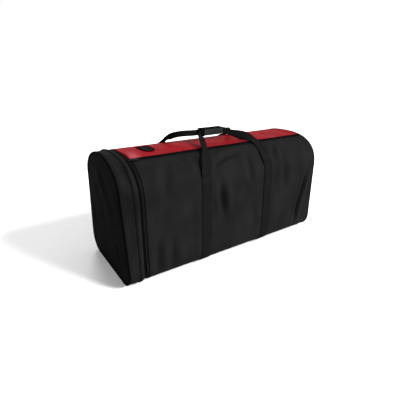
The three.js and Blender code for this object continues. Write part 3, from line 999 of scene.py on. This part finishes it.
class BAG_OT_lid(bpy.types.Operator):
    """Make the lid, its patch and its binding"""
    bl_idname = "bag.lid"
    bl_label = "Lid"

    def execute(self, context):
        sizes = context.scene.bag_sizes
        low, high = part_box("top_panel")
        length = high.x - low.x
        depth = MARK_BACK - MARK_INNER

        def place(across, along):
            return shell_point(low.x + across * length, MARK_INNER + along * depth)

        cells = (round(length / sizes.cell), round(depth / sizes.cell))
        cloth = cloth_grid("lid_top", cells, place, (length, depth), finishes("lid", "lining"))
        thicken(cloth, sizes.wall)
        mounted(cloth, "lid", "lid_fabric", "top_panel")
        points, ups = body_row(low.x, high.x, MARK_INNER + 0.0002, 0.0008)
        tape = swept("lid_front_binding", row_frames(points, ups), webbing_section(0.0052, 0.0016, 0.0),
                     finishes("binding"))
        mounted(tape, "lid", "piping")
        self.patch()
        return {"FINISHED"}

    def patch(self):
        low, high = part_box("lid_patch")
        radius = (high.x - low.x) / 2
        middle = (low.x + high.x) / 2

        def place(across, along):
            y = low.y + along * (high.y - low.y)
            from_tip = min(y - low.y, radius)
            half = radius * math.sqrt(max(1 - (1 - from_tip / radius) ** 2, 0.0))
            x = middle + (2 * across - 1) * half
            edge = min(along, 1 - along, across, 1 - across)
            return over_lid(x, y, 0.0012 + 0.0014 * smooth(0.0, 0.12, edge))

        size = (2 * radius, high.y - low.y)
        pad = cloth_grid("lid_patch_cloth", (20, 34), place, size, finishes("webbing"))
        weld(pad)
        thicken(pad, 0.0012, 0)
        mounted(pad, "lid", "webbing", "lid_patch")
        points = []
        for i in range(31):
            angle = math.pi + math.pi * i / 30
            points.append((middle + radius * math.cos(angle), low.y + radius + radius * math.sin(angle)))
        route = [(low.x, high.y)] + points + [(high.x, high.y), (low.x, high.y)]
        rim = Profile(route)
        line = [over_lid(*rim.at(rim.length * i / 120), 0.0024) for i in range(121)]
        section = webbing_section(0.0052, 0.0022, 0.0)
        band = swept("lid_patch_rim", row_frames(line, [UP] * len(line)), section, finishes("binding"))
        mounted(band, "lid", "piping")
        tail = [over_lid(low.x + 0.001 + 0.003 * i / 12, high.y + 0.021 * i / 12, 0.0018) for i in range(13)]
        section = webbing_section(0.0075, 0.0016, 0.0)
        strip = swept("lid_patch_tail", row_frames(tail, [UP] * len(tail)), section, finishes("binding"))
        mounted(strip, "lid", "piping")


def weld(item):
    """Merges a mesh's doubled points and drops what collapsed."""
    mesh = bmesh.new()
    mesh.from_mesh(item.data)
    bmesh.ops.remove_doubles(mesh, verts=mesh.verts, dist=SAME)
    bmesh.ops.dissolve_degenerate(mesh, edges=mesh.edges, dist=SAME)
    mesh.to_mesh(item.data)
    mesh.free()


def over_lid(x, y, out):
    """The point of the lid over a place in plan."""
    low = MARK_INNER
    high = MARK_BACK
    for _ in range(24):
        middle = (low + high) / 2
        if BODY.at(middle)[0] < y:
            low = middle
        else:
            high = middle
    return shell_point(x, low, out)


class BAG_OT_main_zip(bpy.types.Operator):
    """Make the zip along the lid's front edge"""
    bl_idname = "bag.main_zip"
    bl_label = "Lid zip"

    def execute(self, context):
        sizes = context.scene.bag_sizes
        low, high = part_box("main_zip_tape")
        length = high.x - low.x
        for name, body, first, last, node in (
            ("bag_zip_tape", "bag", MARK_OUTER, MARK_LINE - 0.0003, "main_zip_tape"),
            ("lid_zip_strip", "lid", MARK_LINE + 0.0003, MARK_INNER, "lid_zip_tape"),
        ):
            depth = last - first

            def place(across, along):
                return shell_point(low.x + across * length, first + along * depth, -0.0012)

            tape = cloth_grid(name, (180, 3), place, (length, depth), finishes("lid_tape"))
            thicken(tape, TAPE, 0)
            mounted(tape, body, "zip_tape", node)
        for name, body, mark in (
            ("bag_zip_teeth", "bag", MARK_LINE - 0.0016),
            ("lid_zip_teeth", "lid", MARK_LINE + 0.0016),
        ):
            points, ups = body_row(low.x + 0.006, high.x - 0.006, mark, -0.0006)
            places = [(c, u.cross(a), u) for c, a, u in stitch_places(points, ups, sizes.tooth)]
            teeth = beads(name, places, MAIN_TOOTH, finishes("teeth"))
            mounted(teeth, body, "zip_tape")
        return {"FINISHED"}


class BAG_OT_end_pocket(bpy.types.Operator):
    """Make the end pocket: gusset, panel, piping, flap and zip"""
    bl_idname = "bag.end_pocket"
    bl_label = "End pocket"

    def execute(self, context):
        sizes = context.scene.bag_sizes
        width = GUSSET_RIGHT - GUSSET_LEFT
        around = (BODY.length + END.length) / 2

        def place(across, along):
            return gusset_point(GUSSET_LEFT + across * width, along)

        cloth = cloth_grid("pocket_gusset", (18, 260), place, (width, around), finishes("gusset", "lining"))
        thicken(cloth, sizes.wall)
        mounted(cloth, "end_cap", "shell_fabric", "end_gusset")
        self.flap()
        self.tapes_and_teeth(sizes)
        self.facing()
        edge = loop(END_SHAPE, 0.0032)
        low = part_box("end_panel")[0]
        panel = end_disc(
            "pocket_panel", low.x + 0.0012, -1, edge, sizes.crown, END_FOLDS, finishes("end", "lining"))
        thicken(panel, sizes.wall)
        mounted(panel, "end_cap", "shell_fabric", "end_panel")
        flat, area = cut_size(edge)
        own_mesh(panel)
        frames = loop_frames(loop(END_SHAPE, 0.0012), LEFT_END + 0.0032)
        cord = swept("pocket_piping", frames, round_section(sizes.piping), finishes("binding"), True)
        mounted(cord, "end_cap", "piping", "end_piping")
        return {"FINISHED"}

    def flap(self):
        """The band over the zip, which stands a little proud of the gusset."""
        width = FLAP_RIGHT - FLAP_LEFT

        def place(across, along):
            x = FLAP_LEFT + width * across
            rise = 0.0010 + 0.0030 * smooth(0.0, 0.35, across) - 0.0012 * smooth(0.72, 1.0, across)
            return gusset_point(x, 0.002 + 0.996 * along, rise)

        size = (width, BODY.length)
        band = cloth_grid("pocket_zip_flap", (8, 260), place, size, finishes("gusset", "lining"))
        thicken(band, 0.0016)
        mounted(band, "end_cap", "shell_fabric")

    def tapes_and_teeth(self, sizes):
        """Each side of the zip, on the body that it stays with."""
        for name, body, left, right, node in (
            ("pocket_zip_tape", "end_cap", CAP_TAPE_LEFT, PARTING - 0.0003, "cap_zip_tape"),
            ("hoop_zip_tape", "bag", PARTING + 0.0007, HOOP_RIGHT, "end_zip_hoop"),
        ):
            def place(across, along):
                x = left + (right - left) * across
                return gusset_point(x, along, -0.0036)

            size = (right - left, BODY.length)
            tape = cloth_grid(name, (4, 220), place, size, finishes("tape"))
            thicken(tape, TAPE, 0)
            mounted(tape, body, "zip_tape", node)
        for name, body, x in (
            ("pocket_zip_teeth", "end_cap", PARTING - 0.0014),
            ("hoop_zip_teeth", "bag", PARTING + 0.0018),
        ):
            points, ups = gusset_arc(x, -0.0026, 0.01, 0.99)
            places = [(c, u.cross(a), u) for c, a, u in stitch_places(points, ups, sizes.tooth)]
            teeth = beads(name, places, POCKET_TOOTH, finishes("teeth"))
            mounted(teeth, body, "zip_tape")

    def facing(self):
        """The fabric between the zip and the body, and the piping along the body's edge."""
        width = BODY_LEFT - 0.0003 - FACING_LEFT

        def place(across, along):
            rise = -0.0034 + 0.0030 * smooth(0.25, 0.8, across)
            return gusset_point(FACING_LEFT + width * across, along, rise)

        size = (width, BODY.length)
        facing = cloth_grid("hoop_facing", (8, 260), place, size, finishes("gusset"))
        thicken(facing, TAPE, 0)
        mounted(facing, "bag", "shell_fabric")
        shares = spread(0.0, 1.0, 260)
        points = [shell_point(BODY_LEFT + 0.0002, share * BODY.length, -0.0006) for share in shares]
        ups = [Vector((0, *BODY.normal(share * BODY.length))) for share in shares]
        section = round_section(0.0016, 8)
        cord = swept("body_edge_piping", row_frames(points, ups), section, finishes("binding"))
        mounted(cord, "bag", "piping")


def strap_line():
    """From the back anchor down, under the bag and up to the front anchor."""
    side = side_points(BODY_SHAPE, ANCHOR_ANGLE, 90.0)
    return Profile(side[::-1] + mirrored(side))


class BAG_OT_straps(bpy.types.Operator):
    """Make the two webbing straps that run under the bag"""
    bl_idname = "bag.straps"
    bl_label = "Straps"

    def execute(self, context):
        sizes = context.scene.bag_sizes
        line = strap_line()
        section = webbing_section(STRAP_WIDTH, sizes.webbing, 0.12)
        count = 300
        for name, node, centre in zip(("strap_left", "strap_right"), ("left_strap", "right_strap"), STRAPS):
            frames = []
            for i in range(count):
                distance = line.length * i / (count - 1)
                y, z = line.at(distance)
                ny, nz = line.normal(distance)
                up = Vector((0, ny, nz))
                place = Vector((centre, y, z)) + up * (STRAP_GAP + sizes.webbing / 2)
                frames.append((place, Vector((1, 0, 0)), up, 1.0))
            strap = swept(name, frames, section, finishes("webbing"))
            mounted(strap, "bag", "webbing", node)
        return {"FINISHED"}


# Routes from the anchors to the grip, both as they lie at the front; the back handle is mirrored afterwards.
HANDLES = {
    "front": {
        "late_turn": True,
        "left": [
            (-0.148, -0.2046, 0.3940), (-0.146, -0.2030, 0.4060), (-0.139, -0.193, 0.430),
            (-0.126, -0.172, 0.4545), (-0.112, -0.143, 0.475), (-0.091, -0.098, 0.492),
            (-0.070, -0.058, 0.503), (-0.055, -0.024, 0.514)],
        "right": [
            (0.184, -0.2046, 0.3940), (0.180, -0.2030, 0.4060), (0.175, -0.192, 0.428),
            (0.178, -0.173, 0.447), (0.181, -0.146, 0.465), (0.184, -0.116, 0.478),
            (0.176, -0.086, 0.490), (0.158, -0.056, 0.499), (0.131, -0.031, 0.507),
            (0.102, -0.013, 0.515)],
    },
    "back": {
        "left": [
            (-0.148, -0.2046, 0.3940), (-0.149, -0.2030, 0.4060), (-0.152, -0.185, 0.438),
            (-0.157, -0.150, 0.465), (-0.158, -0.112, 0.486), (-0.155, -0.080, 0.5015),
            (-0.149, -0.054, 0.513), (-0.136, -0.034, 0.5195), (-0.112, -0.016, 0.5235),
            (-0.080, -0.006, 0.5235)],
        "right": [
            (0.184, -0.2046, 0.3940), (0.184, -0.2030, 0.4060), (0.184, -0.187, 0.436),
            (0.186, -0.150, 0.464), (0.186, -0.112, 0.482), (0.174, -0.082, 0.495),
            (0.150, -0.052, 0.505), (0.118, -0.024, 0.515)],
    },
}
GRIP_SHORT = 0.008  # how much the pad is shorter than its place in the frame, at its right end
GRIP_DEPTH = 0.0050  # from the grip's face to the line that its pad is swept along
BAR_Y = -0.0030  # where the webbing lies inside the grip
FOLDED = 0.56  # width of the webbing near the grip, where it is folded in two, as a share of its full width
HANDLE_MIDDLE = 0.02  # X where a handle's left side ends and its right side starts

# Between which heights the webbing does each of these on its way up to the grip
THICKENS = (0.396, 0.404)
DOUBLES_LEFT = (0.448, 0.488)
DOUBLES_RIGHT = (0.492, 0.516)
TURNS = (0.480, 0.517)
TURNS_LATE = (0.508, 0.523)


def spline(points, steps=12):
    """A smooth line through every point of a list."""
    line = []
    for i in range(len(points) - 1):
        before = points[max(i - 1, 0)]
        after = points[min(i + 2, len(points) - 1)]
        first = points[i]
        last = points[i + 1]
        for step in range(steps):
            t = step / steps
            line.append(0.5 * (2 * first + (last - before) * t
                               + (2 * before - 5 * first + 4 * last - after) * t * t
                               + (3 * first - before - 3 * last + after) * t ** 3))
    line.append(points[-1])
    return line


def handle_frames(route):
    """Frames of one handle from its left anchor through the grip to its right anchor."""
    bar_z = (GRIP[0].z + GRIP[1].z) / 2
    bar = [(x, BAR_Y, bar_z) for x in (GRIP[0].x - 0.002, -0.010, 0.020, 0.050, GRIP[1].x - 0.004)]
    line = spline([Vector(p) for p in route["left"] + bar + route["right"][::-1]])
    frames = []
    for i, centre in enumerate(line):
        along = direction(line[max(i - 2, 0)], line[min(i + 2, len(line) - 1)])
        on_left = centre.x < HANDLE_MIDDLE
        late = on_left and "late_turn" in route
        rise = smooth(*(TURNS_LATE if late else TURNS), centre.z)
        flat = Vector((1 if on_left else -1, 0, 0))
        across = flat * (1 - rise) + Vector((0, 0, -1)) * rise
        across = (across - along * across.dot(along)).normalized()
        folded = smooth(*(DOUBLES_LEFT if on_left else DOUBLES_RIGHT), centre.z)
        up = across.cross(along).normalized() * (1 + 0.9 * folded)
        up *= 0.45 + 0.55 * smooth(*THICKENS, centre.z)
        frames.append((centre, across * (1 - (1 - FOLDED) * folded), up, 1.0))
    return frames


def flipped(item):
    """Mirrors a piece to the back of the bag."""
    mesh = bmesh.new()
    mesh.from_mesh(item.data)
    bmesh.ops.scale(mesh, vec=(1, -1, 1), verts=mesh.verts)
    bmesh.ops.reverse_faces(mesh, faces=mesh.faces)
    mesh.to_mesh(item.data)
    mesh.free()


class BAG_OT_handles(bpy.types.Operator):
    """Make both carrying handles and the two halves of their padded grip"""
    bl_idname = "bag.handles"
    bl_label = "Handles"

    def execute(self, context):
        sizes = context.scene.bag_sizes
        section = webbing_section(STRAP_WIDTH - 0.002, sizes.webbing, 0.5)
        for side in ("front", "back"):
            body = side + "_handle"
            frames = handle_frames(HANDLES[side])
            strap = swept(side + "_handle_webbing", frames, section, finishes("webbing"))
            pad = self.half_grip(side + "_grip_pad")
            trims = [self.top_trim(side + "_grip_trim"), self.end_band(side + "_grip_band")]
            for item in [strap, pad, *trims]:
                if side == "back":
                    flipped(item)
            mounted(strap, body, "webbing", side + "_handle")
            mounted(pad, body, "grip_fabric", side + "_grip")
            for item in trims:
                mounted(item, body, "piping")
        return {"FINISHED"}

    def half_grip(self, name):
        """A crowned pad whose long edges pull in to their seams."""
        low, high = GRIP
        right = high.x - GRIP_SHORT
        middle = (low.z + high.z) / 2
        half = (high.z - low.z) / 2
        section = []
        for i in range(20):
            angle = 2 * math.pi * i / 20
            up = math.sin(angle)
            out = math.cos(angle)
            z = half * math.copysign(abs(up) ** 0.55, up)
            y = 0.0046 * math.copysign(abs(out) ** 0.8, out) if out > 0 else -0.0024 * abs(out) ** 0.5
            section.append((y, z))
        frames = []
        count = 48
        for i in range(count):
            x = low.x + (right - low.x) * i / (count - 1)
            from_end = min(x - low.x, right - x)
            swell = 0.86 + 0.14 * smooth(0.0, 0.012, from_end)
            ripple = 1 + 0.012 * math.sin(x * 330.0)
            centre = Vector((x, low.y + GRIP_DEPTH, middle))
            frames.append((centre, Vector((0, -1, 0)) * ripple, Vector((0, 0, 1)), swell))
        return swept(name, frames, section, finishes("grip"))

    def top_trim(self, name):
        """The binding along the grip's top seam."""
        low, high = GRIP
        xs = spread(low.x - 0.004, high.x - GRIP_SHORT - 0.003, 20)
        line = [Vector((x, low.y + GRIP_DEPTH, high.z - 0.0012)) for x in xs]
        frames = row_frames(line, [UP] * len(line))
        return swept(name, frames, webbing_section(0.0110, 0.0046, 0.0), finishes("binding"))

    def end_band(self, name):
        """The webbing tab that holds the left end of the wrap."""
        low, high = GRIP
        line = []
        ups = []
        for angle in spread(-1.35, 1.55, 25):
            reach = Vector((0, -math.cos(angle) * 0.0052, math.sin(angle) * (high.z - low.z) / 2 * 1.04))
            line.append(Vector((low.x + 0.003, low.y + 0.0046, (low.z + high.z) / 2)) + reach)
            ups.append(Vector((0, -math.cos(angle), math.sin(angle) * 0.4)).normalized())
        section = webbing_section(0.0200, 0.0024, 0.2)
        return swept(name, row_frames(line, ups), section, finishes("binding"))


class BAG_OT_hardware(bpy.types.Operator):
    """Finish the zip sliders and pullers"""
    bl_idname = "bag.hardware"
    bl_label = "Sliders and pullers"

    def execute(self, context):
        for node in ("main_slider", "main_puller", "end_slider", "end_puller"):
            refinish(node, "metal")
        return {"FINISHED"}


class BAG_OT_stitching(bpy.types.Operator):
    """Sew every seam"""
    bl_idname = "bag.stitching"
    bl_label = "Stitching"

    def execute(self, context):
        pitch = context.scene.bag_sizes.stitch
        bag_rows = []
        for mark in (MARK_OUTER - 0.0035, MARK_OUTER - 0.0095, MARK_BACK + 0.004, MARK_BACK + 0.010):
            bag_rows.append(body_row(BODY_LEFT + 0.004, BODY_RIGHT - 0.002, mark, STITCH_OUT))
        for x in (BODY_LEFT + 0.0050, BODY_LEFT + 0.0110, BODY_RIGHT - 0.0045):
            bag_rows.append(body_arc(x, 0.004, MARK_OUTER - 0.002, STITCH_OUT))
            bag_rows.append(body_arc(x, MARK_BACK + 0.002, BODY.length - 0.004, STITCH_OUT))
        self.sew("bag_stitching", "bag", bag_rows, pitch)
        lid_rows = [body_row(BODY_LEFT + 0.006, BODY_RIGHT - 0.004, mark, STITCH_OUT)
                    for mark in (MARK_INNER + 0.0050, MARK_BACK - 0.004, MARK_BACK - 0.010)]
        self.sew("lid_stitching", "lid", lid_rows, pitch)
        cap_rows = [gusset_arc(x, out, 0.006, 0.994) for x, out in (
            (LEFT_END + 0.0092, 0.0002), (FLAP_LEFT + 0.0025, 0.0024), (FLAP_RIGHT - 0.0025, 0.0034))]
        self.sew("pocket_stitching", "end_cap", cap_rows, pitch)
        self.sew("strap_stitching", "bag", self.strap_rows(), pitch)
        return {"FINISHED"}

    def sew(self, name, body, rows, pitch):
        places = []
        for points, ups in rows:
            places += stitch_places(points, ups, pitch)
        thread = beads(name, places, STITCH, finishes("thread"))
        mounted(thread, body, "webbing")

    def strap_rows(self):
        """Two rows down each strap, and a crossed box at each of its anchors."""
        line = strap_line()
        height = STRAP_GAP + 0.0027
        top = 0.004  # where an anchor's crossed box starts, and where it ends
        foot = 0.040
        rows = []

        def on_strap(x, distance):
            y, z = line.at(distance)
            up = Vector((0, *line.normal(distance)))
            return Vector((x, y, z)) + up * height, up

        def run(first, last, count=90):
            pairs = [on_strap(*between(first, last, i / (count - 1))) for i in range(count)]
            return [pair[0] for pair in pairs], [pair[1] for pair in pairs]

        for centre in STRAPS:
            half = STRAP_WIDTH / 2 - 0.004
            for x in (centre - half, centre + half):
                rows.append(run((x, foot + 0.005), (x, line.length - foot - 0.005), 260))
            for first, last in ((top, foot), (line.length - foot, line.length - top)):
                corners = [(centre - half, first), (centre + half, first),
                           (centre + half, last), (centre - half, last)]
                for i in range(4):
                    rows.append(run(corners[i], corners[(i + 1) % 4]))
                rows.append(run(corners[0], corners[2]))
                rows.append(run(corners[1], corners[3]))
        return rows


KEY_PLACE = (3.9, -5.0, 3.9)
FILL_PLACE = (1.6, 5.0, 3.4)
LIGHT_SPREAD = math.radians(20)
LIT_POINT = Vector((0, 0, 0.25))
FLOOR_RADIUS = 9.0


class BAG_OT_stage(bpy.types.Operator):
    """Make the floor, the lights and the camera"""
    bl_idname = "bag.stage"
    bl_label = "Stage"

    def execute(self, context):
        stage = context.scene.bag_stage
        self.floor()
        self.light("key_light", KEY_PLACE, stage.key)
        fill = self.light("fill_light", FILL_PLACE, stage.fill)
        fill.visible_glossy = False
        world = bpy.data.worlds.new("studio")
        world.use_nodes = True
        sky = world.node_tree.nodes["Background"]
        sky.inputs["Color"].default_value = (1, 1, 1, 1)
        sky.inputs["Strength"].default_value = stage.sky
        context.scene.world = world
        context.scene.view_settings.view_transform = "Standard"
        context.scene.view_settings.look = "None"
        self.camera(context, stage)
        return {"FINISHED"}

    def floor(self):
        mesh = bmesh.new()
        bmesh.ops.create_circle(mesh, cap_ends=True, segments=96, radius=FLOOR_RADIUS)
        wiring = Wiring("PaleFloor", {"Specular IOR Level": 0.1})
        haze = wiring.noise(2.0, 2.0)
        tone = wiring.blend(haze, (0.60, 0.60, 0.60, 1), (0.62, 0.62, 0.62, 1))
        floor = new_object("floor", mesh, [wiring.finish(color=tone, roughness=0.85)])

    def light(self, name, place, power):
        """A soft distant light that shines from a place towards the bag."""
        lamp = bpy.data.lights.new(name, "SUN")
        lamp.angle = LIGHT_SPREAD
        lamp.energy = power
        item = bpy.data.objects.new(name, lamp)
        item.location = place
        aim = LIT_POINT - item.location
        item.rotation_euler = aim.to_track_quat("-Z", "Y").to_euler()
        bpy.context.scene.collection.objects.link(item)
        return item

    def camera(self, context, stage):
        data = bpy.data.cameras.new("camera")
        data.lens = stage.lens
        data.sensor_width = 36.0
        data.sensor_fit = "HORIZONTAL"
        data.clip_end = 60.0
        item = bpy.data.objects.new("camera", data)
        back = Vector((math.sin(stage.turn) * math.cos(stage.tilt),
                       -math.cos(stage.turn) * math.cos(stage.tilt), math.sin(stage.tilt)))
        item.location = Vector(stage.target) + back * stage.distance
        item.rotation_euler = (-back).to_track_quat("-Z", "Y").to_euler()
        context.scene.collection.objects.link(item)
        context.scene.camera = item


class BAG_PT_panel(bpy.types.Panel):
    """Lists the bag's pieces and settings"""
    bl_idname = "BAG_PT_panel"
    bl_label = "Equipment Bag"
    bl_space_type = "VIEW_3D"
    bl_region_type = "UI"
    bl_category = "Equipment Bag"

    def draw(self, context):
        for operator in OPERATORS:
            self.layout.operator(operator.bl_idname)
        for group in ("bag_sizes", "bag_colours", "bag_stage"):
            settings = getattr(context.scene, group)
            for name in settings.__annotations__:
                self.layout.prop(settings, name)


OPERATORS = (
    BAG_OT_stage, BAG_OT_materials, BAG_OT_shell, BAG_OT_ends, BAG_OT_lid, BAG_OT_main_zip,
    BAG_OT_end_pocket, BAG_OT_straps, BAG_OT_handles, BAG_OT_hardware, BAG_OT_stitching,
)
CLASSES = (BagSizes, BagColours, StageSettings, *OPERATORS, BAG_PT_panel)


def register():
    for item in CLASSES:
        bpy.utils.register_class(item)
    bpy.types.Scene.bag_sizes = PointerProperty(type=BagSizes)
    bpy.types.Scene.bag_colours = PointerProperty(type=BagColours)
    bpy.types.Scene.bag_stage = PointerProperty(type=StageSettings)


def unregister():
    del bpy.types.Scene.bag_stage
    del bpy.types.Scene.bag_colours
    del bpy.types.Scene.bag_sizes
    for item in reversed(CLASSES):
        bpy.utils.unregister_class(item)


def main():
    register()
    bpy.ops.bag.stage()
    bpy.ops.bag.materials()
    bpy.ops.bag.shell()
    bpy.ops.bag.ends()
    bpy.ops.bag.lid()
    bpy.ops.bag.main_zip()
    bpy.ops.bag.end_pocket()
    bpy.ops.bag.straps()
    bpy.ops.bag.handles()
    bpy.ops.bag.hardware()
    bpy.ops.bag.stitching()


if __name__ == "__main__":
    main()
